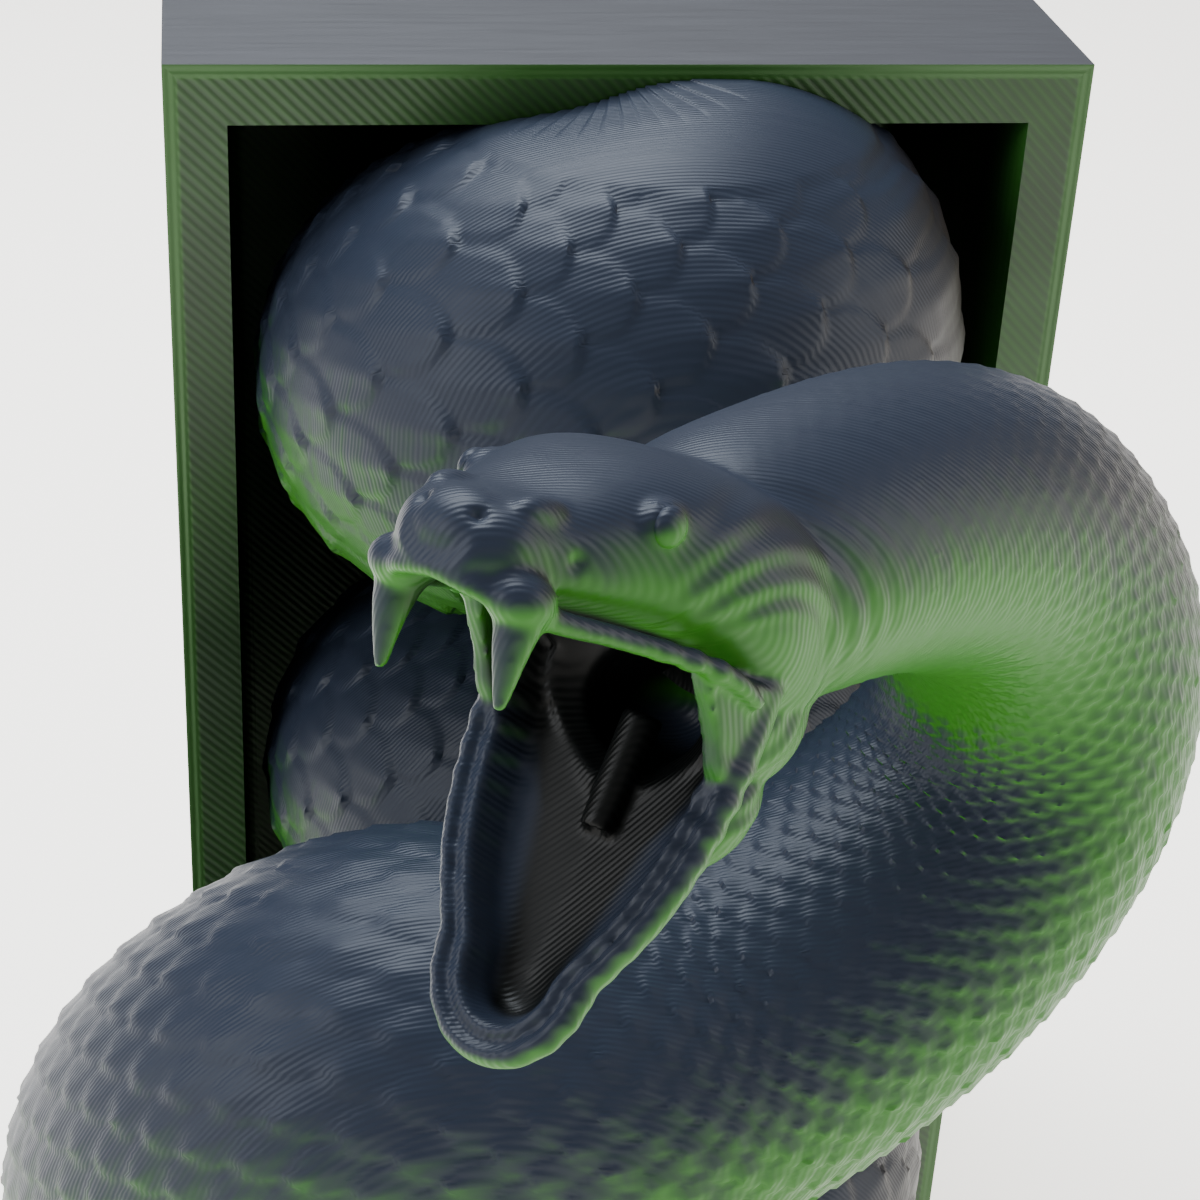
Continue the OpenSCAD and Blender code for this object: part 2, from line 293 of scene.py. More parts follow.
def wound_skin(name, line, low, high, tailwards=1, hub_top=math.inf):
    """Scaled skin of a body wound about the axle, between two levels, with a hub that reaches to hub_top."""
    count = int(TAU * (BODY_R + COIL_R) / MESH_STEP)
    sweep = np.linspace(0, math.pi, int(1.5 * (high - low) / MESH_STEP))
    levels = (low + high) / 2 - (high - low) / 2 * np.cos(sweep)
    angle = np.arange(count) * TAU / count
    aim = np.stack([np.cos(angle), np.sin(angle)], 1)
    forward = aim @ line[:, :2].T
    tangents = np.gradient(line[:, :3], axis=0)
    tangents /= np.linalg.norm(tangents, axis=1)[:, None]
    along = np.concatenate([[0], np.cumsum(np.linalg.norm(np.diff(line[:, :3], axis=0), axis=1))])
    up = np.array([0, 0, 1]) - tangents * tangents[:, 2:]
    up /= np.linalg.norm(up, axis=1)[:, None]
    out = np.cross(tangents, up)
    width = TAU * BODY_R / COIL_SCALES
    rings = []
    for z in levels:
        slice_r2 = line[:, 3] ** 2 - (z - line[:, 2]) ** 2
        q = forward**2 - (line[:, :2] ** 2).sum(1) + slice_r2
        reaches = np.where((slice_r2 > 0) & (q > 0), forward + np.sqrt(np.maximum(q, 0)), 0)
        best = np.clip(reaches.argmax(1), 1, len(line) - 2)
        rows = np.arange(count)
        before, here, after = (reaches[rows, best + k] for k in (-1, 0, 1))
        bend = before - 2 * here + after
        offset = np.clip((before - after) / (2 * np.minimum(bend, -1e-9)), -0.5, 0.5)
        shift = np.where(np.abs(bend) > 1e-9, offset, 0)
        reach = reaches.max(1)
        points = np.column_stack([aim * reach[:, None], np.full(count, z)])
        normal = points - line[best, :3]
        normal /= np.maximum(np.linalg.norm(normal, axis=1), 1e-6)[:, None]
        turned = np.arctan2((normal * up[best]).sum(1), (normal * out[best]).sum(1))
        place = np.interp(best + shift, np.arange(len(line)), along) * tailwards
        height = scale_height(place / (COIL_ROW * width), turned / TAU * COIL_SCALES) - SUNK
        hub = HUB_R if z < hub_top else AXLE_R
        calm = ease(hub, hub + 3, reach) * ease(0, 1.2, z - low) * ease(0, 1.2, high - z)
        if z > hub_top:
            calm *= ease(0.85, 0.6, normal[:, 2])
        points += normal * (height * calm * RELIEF * width)[:, None]
        far = np.maximum(np.linalg.norm(points[:, :2], axis=1), 1e-6)
        eased = RIM_EASE * ease(1.6, 0, min(z - low, high - z))
        points[:, :2] *= (np.maximum(far - eased, hub - RIM_EASE) / far)[:, None]
        inside = reach < hub
        points[inside, :2] = aim[inside] * (hub - eased)
        points[:, 2] = np.clip(points[:, 2], low, high)
        rings.append(points + [*AXLE, 0])
    rings = np.array(rings)
    rings[0, :, 2], rings[-1, :, 2] = low, high
    return skin(name, rings)


def bored(coil, low, high, washer_levels):
    """The coil with the axle's bore and the washers' pockets."""
    combine(coil, rod(AXLE_R + RUN_FIT, low - 1, high + 1, at=AXLE), "DIFFERENCE")
    room = (WASHER_T + PLAY) / 2
    for z in washer_levels:
        combine(coil, rod(WASHER_R + 1.5 * PLAY, z - room, z + room, at=AXLE), "DIFFERENCE")
    return coil


def node_levels(node):
    low, high = box_mm(node)
    return low[2], high[2]


def top_coil():
    """The top coil, which swells over the tower's top bar in front and tapers into the tail behind."""
    t = turns(-0.8, 0.75)
    crest = ease(-0.3, -0.06, t)
    level = np.where(t < 0, body_level(t), COIL_RISE * np.sin(np.clip(TAU * t, 0, TAU / 4)))
    radius = BODY_R + CREST_SWELL * crest - 12 * np.maximum(0, t - 0.16)
    line = on_coil(t, coil_mid(0) + level + CREST_LIFT * crest, radius)
    low, high = node_levels("top_coil")[0], TOWER_HIGH[2] + CREST_TOP
    under_top = TOWER_HIGH[2] - WALL
    coil = wound_skin("top_coil_skin", line, low, high, hub_top=under_top)
    corner = np.array([-TOWER_W, TOWER_LOW[1] - BAR_GAP, under_top])
    combine(coil, block(corner, corner + [2 * TOWER_W, TOWER_W, 3 * WALL]), "DIFFERENCE")
    dowel_r, dowel_at = (DOWEL_HIGH - DOWEL_LOW)[0] / 2, (DOWEL_LOW + DOWEL_HIGH)[:2] / 2
    combine(coil, rod(dowel_r, DOWEL_LOW[2], DOWEL_HIGH[2], at=dowel_at), "DIFFERENCE")
    return bored(coil, low, high, [coil_mid(1) + COIL_PITCH / 2])


def middle_coil():
    t = turns(-0.8, 0.8)
    line = on_coil(t, body_level(t) + coil_mid(1), BODY_R)
    low, high = node_levels("middle_coil")
    cuts = [coil_mid(k) + COIL_PITCH / 2 for k in (1, 2)]
    return bored(wound_skin("middle_coil_skin", line, low, high), low, high, cuts)


def lower_coil():
    """The lowest coil: round from the back, then out through the front, cut square at the swivel."""
    back = np.arange(14, 7, -1) / 20
    round_back = on_coil(back, body_level(back) + coil_mid(2), BODY_R)
    leaving = np.array([
        [8.2, -0.8, -69.6, BODY_R],
        [7.2, -7.6, -71.8, BODY_R],
        [2.6, -11.8, -73.8, BODY_R],
        [*SWIVEL, BODY_R],
        [-9, -12.5, -74.6, BODY_R],
    ])
    leaving[:, :3] += TOP_FRONT - [*AXLE, 0]
    line = even_steps(smooth_rows(np.vstack([round_back, leaving]), 20), MESH_STEP)
    low, high = node_levels("lower_coil")
    coil = wound_skin("lower_coil_skin", line, low, high, -1)
    bored(coil, low, high, [coil_mid(2) + COIL_PITCH / 2])
    room = PIN_AT - SWIVEL_ROOM_BELOW
    combine(coil, block(room, (PIN_AT[0], *(room + SWIVEL_ROOM)[1:])), "DIFFERENCE")
    return combine(coil, rod(PIN_R, PIN_AT[0] - 1, PIN_HIGH[0], "x", PIN_AT[1:]), "DIFFERENCE")


# ---- the head end: hairpin, loop and neck --------------------------------------------------
LOOP_POINTS = [  # x, y, z from the top front edge, radius
    [-6.2, -31.3, -40.9, 11.3],
    [0.6, -30, -39.9, 10.5],
    [7, -28.8, -37.1, 9.8],
    [12.4, -27.4, -33.4, 9.2],
    [16.2, -26.4, -28.6, 8.5],
    [17.2, -26.2, -23.2, 8.1],
    [16.3, -27, -18.4, 7.7],
    [13.6, -29, -13.8, 7.3],
    [10.3, -31.8, -10.6, 7],
    [6.2, -35.2, -8.5, 6.7],
    [2, -38.8, -7.3, 6.3],
    [-1.8, -41.8, -6.9, 6.1],
    [-5.3, -44.2, -6.6, 6],
]


def fore_line():
    """Centreline from the swivel round the hairpin and the loop to the back of the head."""
    start = np.array(SWIVEL) - [SEAM, 0, 0]
    end_y, end_z, radii, turned = -32, -38.5, (13.1, 11.9), 150
    rows = [[*start, radii[0]]]
    for angle in range(0, turned + 1, 10):
        a = math.radians(angle)
        share = (1 - math.cos(a)) / 2
        rows.append([
            start[0] - 1.2 - 18 * math.sin(a),
            start[1] + (end_y - start[1]) * share,
            start[2] + (end_z - start[2]) * share,
            radii[0] + (radii[1] - radii[0]) * angle / turned,
        ])
    line = np.array(rows + LOOP_POINTS)
    line[:, :3] += TOP_FRONT
    return even_steps(np.vstack([line[:1], smooth_rows(line[1:], 8)]), MESH_STEP)


def into_head(line):
    """The neck's line carried on into the skull, where it narrows, its bends evened out past the swivel."""
    inner = np.column_stack([in_head([[0.12, 0, 0], [0.26, 0, 0], [0.4, 0, 0.02]]), [5.2, 4, 2.2]])
    line = even_steps(np.vstack([line[:-8], smooth_rows(np.vstack([line[-8], inner]), 8)]), MESH_STEP)
    reach = int(EVEN_OVER / MESH_STEP)
    window = np.hanning(2 * reach + 1)
    window /= window.sum()
    ends = np.vstack([np.repeat(line[:1], reach, 0), line, np.repeat(line[-1:], reach, 0)])
    evened = np.stack([np.convolve(column, window, "valid") for column in ends.T], 1)
    along = np.arange(len(line)) * MESH_STEP
    share = (ease(2, 12, along) * ease(0, 5, along[-1] - along))[:, None]
    return even_steps(line + (evened - line) * share, MESH_STEP)


def to_end(line):
    """Millimetres from each point of an evenly stepped line to its end."""
    return MESH_STEP * np.arange(len(line))[::-1]


def swept_skin(name, line, scales, side=(0, 1, 0)):
    """Scaled tube along a line, with the scales shrinking as it narrows and fading at its two ends."""
    count = int(TAU * line[:, 3].max() / MESH_STEP)
    _, sides, ups = carried_frames(line, side)
    angle = np.arange(count) * TAU / count
    normal = sides[:, None] * np.cos(angle)[:, None] + ups[:, None] * np.sin(angle)[:, None]
    width = TAU * line[:, 3] / scales
    step = np.linalg.norm(np.diff(line[:, :3], axis=0), axis=1)
    rows = -np.concatenate([[0], np.cumsum(step / (FORE_ROW * width[1:]))])
    height = scale_height(rows[:, None], angle / TAU * scales) - 0.5
    along = np.concatenate([[0], np.cumsum(step)])
    calm = ease(0, 2.5, along) * (0.3 + 0.7 * ease(9, 26, along[-1] - along))
    radius = line[:, 3:] + height * (FORE_RELIEF * width * calm)[:, None]
    return skin(name, line[:, None, :3] + normal * radius[..., None])


# ---- the head ------------------------------------------------------------------------------
HEAD_AT = np.array([-5.3, -44, -7.3]) + TOP_FRONT
HEAD_FWD = unit([-0.62, -0.56, 0.55])
HEAD_SIDE = square_to(np.array([0.7, -0.71, 0.08]), HEAD_FWD)  # towards the viewer's right
HEAD_AXES = np.array([HEAD_FWD, HEAD_SIDE, np.cross(HEAD_FWD, HEAD_SIDE)])
JAW_DROP = 0.12


def in_head(points):
    """From the head's own measures (forward, side, up, in head lengths) to millimetres."""
    return HEAD_AT + HEAD_LEN * np.asarray(points, float) @ HEAD_AXES


def from_head(points):
    return (points - HEAD_AT) @ HEAD_AXES.T / HEAD_LEN


def in_jaw(points):
    """From the lower jaw's measures (along, side, inwards) to millimetres."""
    p = np.asarray(points, float)
    forward = p[..., 0] * math.cos(GAPE) + p[..., 2] * math.sin(GAPE)
    upward = -p[..., 0] * math.sin(GAPE) + p[..., 2] * math.cos(GAPE) - JAW_DROP
    return in_head(np.stack([forward, p[..., 1], upward], -1))


def to_jaw(head_points):
    f, s, u = head_points.T
    u = u + JAW_DROP
    return np.stack([f * math.cos(GAPE) - u * math.sin(GAPE), s, f * math.sin(GAPE) + u * math.cos(GAPE)], 1)


SKULL_ROWS = [  # forward, half width, top, bottom
    [-0.5, 0.2, 0.16, -0.16],
    [-0.3, 0.34, 0.3, -0.26],
    [-0.1, 0.4, 0.34, -0.28],
    [0.1, 0.42, 0.34, -0.2],
    [0.3, 0.38, 0.33, -0.14],
    [0.5, 0.31, 0.29, -0.13],
    [0.66, 0.25, 0.21, -0.13],
    [0.8, 0.195, 0.12, -0.13],
    [0.93, 0.165, 0.08, -0.13],
    [1.0, 0.1, 0.03, -0.11],
]
JAW_ROWS = [  # along, half width, depth outwards
    [-0.16, 0.3, 0.2],
    [0, 0.39, 0.21],
    [0.3, 0.4, 0.18],
    [0.6, 0.345, 0.15],
    [0.84, 0.235, 0.12],
]
RIM_PROFILE = [  # distance in from the jaw's rim, height: two lips with a groove between, then the floor
    [0, 0],
    [0.02, 0.035],
    [0.042, 0.04],
    [0.062, 0.008],
    [0.08, 0.028],
    [0.1, 0.03],
    [0.13, -0.03],
    [0.18, -0.085],
    [0.4, -0.11],
]
PALATE = np.array([0.42, 0, -0.18])  # centre of the hollow behind the upper teeth, in head lengths
HEAD_STEP = 0.16  # millimetres between the head's points


def skull():
    rows = smooth_rows(SKULL_ROWS, 8)
    angle = np.arange(72) * TAU / 72
    across, upward = (np.sign(f) * np.abs(f) ** 0.8 for f in (np.cos(angle), np.sin(angle)))
    mid, half = (rows[:, 2] + rows[:, 3]) / 2, (rows[:, 2] - rows[:, 3]) / 2
    forward = np.repeat(rows[:, :1], len(angle), 1)
    rings = np.stack([forward, rows[:, 1:2] * across, mid[:, None] + half[:, None] * upward], -1)
    return skin("skull", in_head(rings))


def ball(centre, radii, place=in_head):
    """Ellipsoid in the head's or the jaw's own measures."""
    lat = np.linspace(-math.pi / 2, math.pi / 2, 26)[1:-1]
    lon = np.arange(40) * TAU / 40
    rings = np.stack([
        np.cos(lat)[:, None] * np.cos(lon),
        np.cos(lat)[:, None] * np.sin(lon),
        np.repeat(np.sin(lat)[:, None], len(lon), 1),
    ], -1)
    return skin("ball", place(np.array(centre) + rings * radii))


def cord_of(points, place=in_head):
    """Round ridge through points of [forward, side, up, radius] in the head's or the jaw's own measures."""
    rows = smooth_rows(points, 6)
    line = np.column_stack([place(rows[:, :3]), rows[:, 3] * HEAD_LEN])
    _, sides, ups = carried_frames(line, HEAD_FWD + 0.3 * HEAD_SIDE)
    angle = np.arange(20) * TAU / 20
    normal = sides[:, None] * np.cos(angle)[:, None] + ups[:, None] * np.sin(angle)[:, None]
    return skin("ridge", line[:, None, :3] + normal * line[:, None, 3:])


def lower_jaw():
    """The jaw's trough: an outline round the tip, with rim lips, a floor and a rounded outside."""
    rows = smooth_rows(JAW_ROWS, 10)
    turn = np.linspace(0, math.pi / 2, 14)[1:]
    tip_f, tip_w, tip_t = rows[-1]
    tip = np.stack([tip_f + 1.12 * tip_w * np.sin(turn), tip_w * np.cos(turn), tip_t + 0 * turn], 1)
    half = np.vstack([rows, tip])
    outline = np.vstack([half, (half * [1, -1, 1])[-2::-1]])
    centre = np.column_stack([np.minimum(outline[:, 0], tip_f), 0 * outline[:, 0]])
    shares = np.linspace(0, 1, 40)
    inward = outline[:, None, :2] + (centre - outline[:, :2])[:, None] * shares[:, None]
    depth = np.linalg.norm(centre - outline[:, :2], axis=1)
    profile = smooth_rows(RIM_PROFILE, 5)
    inner = np.interp(depth[:, None] * shares, profile[:, 0], profile[:, 1]) + 0.04
    outer = -outline[:, 2:] * np.sqrt(1 - (1 - shares) ** 2) + 0.04
    top = np.concatenate([inward, inner[..., None]], -1)
    under = np.concatenate([inward, outer[..., None]], -1)[:, 1:][:, ::-1]
    return skin("jaw", in_jaw(np.concatenate([top, under], 1)))


def cheek(side):
    """Web of skin across the mouth's corner, with a hollow free edge."""
    share = np.linspace(0, 1, 26)
    reach = 0.36 - 0.1 * np.sin(np.pi * share) ** 0.7
    out = np.linspace(0.02, 1, 12)
    angle = -GAPE * share
    rings = []
    for thick in (0.028, -0.028):
        r = reach[:, None] * out
        flat = np.stack([
            r * np.cos(angle)[:, None],
            side * (0.37 - 0.1 * r + thick),
            r * np.sin(angle)[:, None] - JAW_DROP,
        ], -1)
        rings.append(flat if thick > 0 else flat[:, ::-1])
    return skin("cheek", in_head(np.concatenate(rings, 1)))


def lip(side):
    points = [
        [0.975, 0, -0.1, 0.03],
        [0.95, 0.1, -0.115, 0.03],
        [0.88, 0.175, -0.13, 0.03],
        [0.76, 0.21, -0.135, 0.03],
        [0.6, 0.265, -0.125, 0.028],
        [0.4, 0.34, -0.12, 0.028],
        [0.25, 0.385, -0.13, 0.026],
        [0.12, 0.4, -0.17, 0.02],
    ]
    return cord_of([[p[0], p[1] * side, *p[2:]] for p in points])


def fang(side):
    points = [
        [0.84, 0.165, -0.08, 0.07],
        [0.845, 0.17, -0.16, 0.058],
        [0.84, 0.172, -0.23, 0.043],
        [0.825, 0.172, -0.3, 0.028],
        [0.81, 0.17, -0.36, 0.015],
    ]
    return cord_of([[p[0], p[1] * side, *p[2:]] for p in points])


def both(maker):
    """The right and the left one of a piece."""
    return [maker(side) for side in (1, -1)]


def head():
    """Skull, jaw, cheeks and throat joined, hollowed and rounded, then the fine features."""
    neck = into_head(fore_line())[-int(NECK_LAP / MESH_STEP):]
    neck[:, 3] -= NECK_DIVE * ease(14.5, 17, to_end(neck))
    solid = [
        skull(), lower_jaw(), *both(cheek), *both(lip), *both(fang),
        swept_skin("neck", neck, FORE_SCALES),
        ball((-0.17, 0, -0.2), (0.3, 0.35, 0.28)),
        ball((-0.2, 0, -0.42), (0.2, 0.3, 0.26)),
        ball((0.91, 0, -0.01), (0.11, 0.14, 0.1)),
    ]
    for side in (1, -1):
        solid += [
            ball((0.53, side * 0.25, 0.14), (0.1, 0.05, 0.07)),
            ball((0.86, side * 0.165, -0.115), (0.09, 0.08, 0.065)),
            ball((0.8, side * 0.12, 0.07), (0.12, 0.05, 0.05)),
        ]
    hollows = [
        ball((0.2, 0, -0.28), (0.3, 0.31, 0.27)),
        ball(PALATE, (0.4, 0.23, 0.11)),
        ball((0.0, 0, -0.26), (0.32, 0.18, 0.15)),
    ]
    for side in (1, -1):
        hollows += [
            ball((0.99, side * 0.08, 0.03), (0.03, 0.022, 0.02)),
            ball((0.77, side * 0.22, 0.0), (0.035, 0.025, 0.028)),
        ]
    made = solid[0]
    for piece in solid[1:]:
        combine(made, piece, "UNION")
    for hollow in hollows:
        combine(made, hollow, "DIFFERENCE")
    windpipe = [[0.16, 0.02, -0.05, 0.055], [0.34, 0.02, -0.045, 0.05], [0.47, 0.02, -0.04, 0.045]]
    combine(made, cord_of(windpipe, in_jaw), "UNION")
    combine(made, ball((0.49, 0.02, -0.035), (0.05, 0.027, 0.027), in_jaw), "DIFFERENCE")
    remesh = made.modifiers.new("remesh", "REMESH")
    remesh.mode = "VOXEL"
    remesh.voxel_size = HEAD_STEP * MM
    rounding = made.modifiers.new("rounding", "SMOOTH")
    rounding.factor = 0.5
    rounding.iterations = 12
    apply_modifiers(made)
    for side in (1, -1):
        combine(made, ball((0.56, side * 0.28, 0.145), (0.055, 0.034, 0.05)), "UNION")
    return made


def point_array(mesh, field="co"):
    values = np.zeros(len(mesh.vertices) * 3, np.float32)
    source = mesh.vertices if field == "co" else mesh.vertex_normals
    source.foreach_get(field if field == "co" else "vector", values)
    return values.reshape(-1, 3).astype(float)


def fold_head(obj):
    """Skin folds behind the eye and round the mouth's corner, and small beads along the jaw's rim."""
    points = point_array(obj.data) / MM
    normal = point_array(obj.data, "vector")
    f, s, u = from_head(points).T
    corner = np.hypot(f - 0.1, u + 0.12)
    outside = ease(0.2, 0.3, np.abs(s)) * ease(0.58, 0.35, f) * ease(-0.5, -0.2, f)
    folds = np.sin(TAU * corner / 0.085 + 2.2 * np.sin(5 * u)) * outside
    folds *= ease(0.13, 0.22, corner) * ease(0.62, 0.4, corner)
    jaw_along, _, jaw_up = to_jaw(np.stack([f, s, u], 1)).T
    beads = np.sin(TAU * jaw_along / 0.07) * ease(0.1, 0.25, jaw_along)
    beads *= ease(0.09, 0.04, np.abs(jaw_up - 0.02))
    beads *= ease(0.09, 0.05, np.abs(np.abs(s) - (0.37 - 0.2 * jaw_along)))
    moved = points + normal * (0.045 * folds + 0.025 * beads)[:, None]
    obj.data.vertices.foreach_set("co", (moved * MM).astype(np.float32).ravel())
    obj.data.update()


def paint_mouth_shade(obj):
    """Stores on each point how far inside the mouth it lies, from 0 to 1, as painted shade which darkens it."""
    head_points = from_head(point_array(obj.data) / MM)
    _, s, _ = head_points.T
    along, _, inward = to_jaw(head_points).T
    trough = ease(0.0, -0.05, inward - 0.03) * ease(0.01, 0.07, 0.4 - 0.2 * along - np.abs(s) - 0.1)
    trough *= ease(-0.16, -0.1, inward) * (along > -0.1) * (along < 1.0)
    throat = ease(1.15, 0.95, np.linalg.norm((head_points - [0.16, 0, -0.25]) / [0.42, 0.31, 0.36], axis=1))
    palate = ease(1.3, 1.0, np.linalg.norm((head_points - PALATE) / [0.42, 0.25, 0.13], axis=1))
    value = np.clip(trough + throat + palate, 0, 1)
    store = obj.data.attributes.new("mouth", "FLOAT", "POINT")
    store.data.foreach_set("value", value.astype(np.float32))


def fore_body():
    line = into_head(fore_line())
    line[:, 3] -= NECK_DIVE * ease(14, 11, to_end(line))
    body = swept_skin("fore_body_skin", line[:-int(BODY_STOP / MESH_STEP)], FORE_SCALES)
    face = head()
    fold_head(face)
    combine(body, face, "UNION")
    bore_end = PIN_LOW[0] - SEAM
    combine(body, rod(PIN_R + RUN_FIT, bore_end, PIN_AT[0] + 1, "x", PIN_AT[1:]), "DIFFERENCE")
    clip_r = (CLIP_HIGH - CLIP_LOW)[1] / 2 + PLAY
    combine(body, rod(clip_r, CLIP_LOW[0] - PLAY, CLIP_HIGH[0] + PLAY, "x", PIN_AT[1:]), "DIFFERENCE")
    paint_mouth_shade(body)
    return body


# ---- materials -----------------------------------------------------------------------------
class Nodes:
    """Short calls for building a material's node tree."""

    def __init__(self, name):
        self.material = bpy.data.materials.new(name)
        self.material.use_nodes = True
        self.tree = self.material.node_tree
        self.shader = self.tree.nodes["Principled BSDF"]

    def add(self, kind, **values):
        node = self.tree.nodes.new(kind)
        for key, value in values.items():
            setattr(node, key, value)
        return node

    def link(self, source, target):
        self.tree.links.new(source, target)

    def math(self, operation, a, b=None, c=None):
        node = self.add("ShaderNodeMath", operation=operation)
        for socket, value in zip(node.inputs, (a, b, c)):
            if isinstance(value, (int, float)):
                socket.default_value = value
            elif value is not None:
                self.link(value, socket)
        return node.outputs[0]

    def ramp(self, value, low, high):
        """Smooth step from 0 at low to 1 at high."""
        node = self.add("ShaderNodeMapRange", interpolation_type="SMOOTHSTEP")
        self.link(value, node.inputs["Value"])
        node.inputs["From Min"].default_value = low
        node.inputs["From Max"].default_value = high
        return node.outputs[0]

    def mix(self, share, a, b):
        """Mixes two colours, given as numbers or sockets."""
        node = self.add("ShaderNodeMix", data_type="RGBA")
        self.link(share, node.inputs[0])
        for socket, value in ((node.inputs[6], a), (node.inputs[7], b)):
            if isinstance(value, tuple):
                socket.default_value = (*value, 1)
            else:
                self.link(value, socket)
        return node.outputs[2]

    def split(self, vector):
        node = self.add("ShaderNodeSeparateXYZ")
        self.link(vector, node.inputs[0])
        return node.outputs

    def noise(self, place, scale, detail=3, stretch=(1, 1, 1)):
        mapping = self.add("ShaderNodeMapping")
        mapping.inputs["Scale"].default_value = stretch
        self.link(place, mapping.inputs["Vector"])
        node = self.add("ShaderNodeTexNoise")
        node.inputs["Scale"].default_value = scale
        node.inputs["Detail"].default_value = detail
        self.link(mapping.outputs[0], node.inputs["Vector"])
        return node.outputs["Fac"]

    def waves(self, value, period):
        """Sine of a length in metres, with this period in metres, from -1 to 1."""
        return self.math("SINE", self.math("MULTIPLY", value, TAU / period))

    def bump(self, height, distance):
        """Bump whose full height is this distance in metres."""
        node = self.add("ShaderNodeBump")
        node.inputs["Strength"].default_value = 1
        node.inputs["Distance"].default_value = distance
        self.link(height, node.inputs["Height"])
        self.link(node.outputs[0], self.shader.inputs["Normal"])

    def set(self, **values):
        for key, value in values.items():
            self.shader.inputs[key.replace("_", " ")].default_value = value


LAYER = 0.2 * MM
BLACK_SILK = (0.014, 0.019, 0.032)
BROWN_SILK = (0.015, 0.012, 0.010)
GREEN_SILK = (0.018, 0.11, 0.006)
DEEP_GREEN = (0.009, 0.05, 0.006)
# painted shade colour, for the inside of the mouth and the inside of the tower
SHADOW_BLACK = (0.0015, 0.002, 0.002)


def snake_print(name, green_from, green_to, lean):
    """Two-colour silk print: dark where it faces up, green where it faces down, in layers along Y.
    The green grows over the range given, and lean is how much facing right counts towards it."""
    n = Nodes(name)
    place = n.add("ShaderNodeTexCoord")
    nx, _, nz = n.split(place.outputs["Normal"])
    _, y, _ = n.split(place.outputs["Object"])
    streaks = n.noise(place.outputs["Object"], 380, 4, (0.35, 6, 0.35))
    clouds = n.noise(place.outputs["Object"], 45, 2)
    facing = n.math("MULTIPLY_ADD", nx, lean, n.math("MULTIPLY", nz, -1))
    facing = n.math("MULTIPLY_ADD", n.math("SUBTRACT", streaks, 0.5), 0.55, facing)
    facing = n.math("MULTIPLY_ADD", n.math("SUBTRACT", clouds, 0.5), 0.5, facing)
    green = n.ramp(facing, green_from, green_to)
    dark = n.mix(n.ramp(nx, 0.4, 1), BLACK_SILK, BROWN_SILK)
    lit = n.mix(n.ramp(facing, green_from + 0.15, green_to + 0.1), DEEP_GREEN, GREEN_SILK)
    colour = n.mix(green, dark, lit)
    # painted shade: the stored mouth value darkens the inside of the mouth towards black
    mouth = n.add("ShaderNodeAttribute", attribute_name="mouth")
    colour = n.mix(mouth.outputs["Fac"], colour, SHADOW_BLACK)
    n.link(colour, n.shader.inputs["Base Color"])
    rough = n.math("MULTIPLY_ADD", streaks, 0.2, 0.3)
    n.link(rough, n.shader.inputs["Roughness"])
    n.set(Metallic=0.0, Specular_IOR_Level=0.16)
    lines = n.math("MULTIPLY_ADD", n.waves(y, LAYER), 0.5, streaks)
    n.bump(lines, 0.012 * MM)
    return n.material


FACE_GREENS = ((0.006, 0.024, 0.004), (0.018, 0.078, 0.008))  # dark and light
FLANK_GREENS = ((0.008, 0.024, 0.008), (0.018, 0.075, 0.01))
# green painted on the right inner wall near the opening, as the light falling in there
LIT_INNER_GREEN = (0.03, 0.16, 0.02)
TOP_GREY = (0.03, 0.031, 0.038)
BACK_GREY = (0.012, 0.018, 0.014)


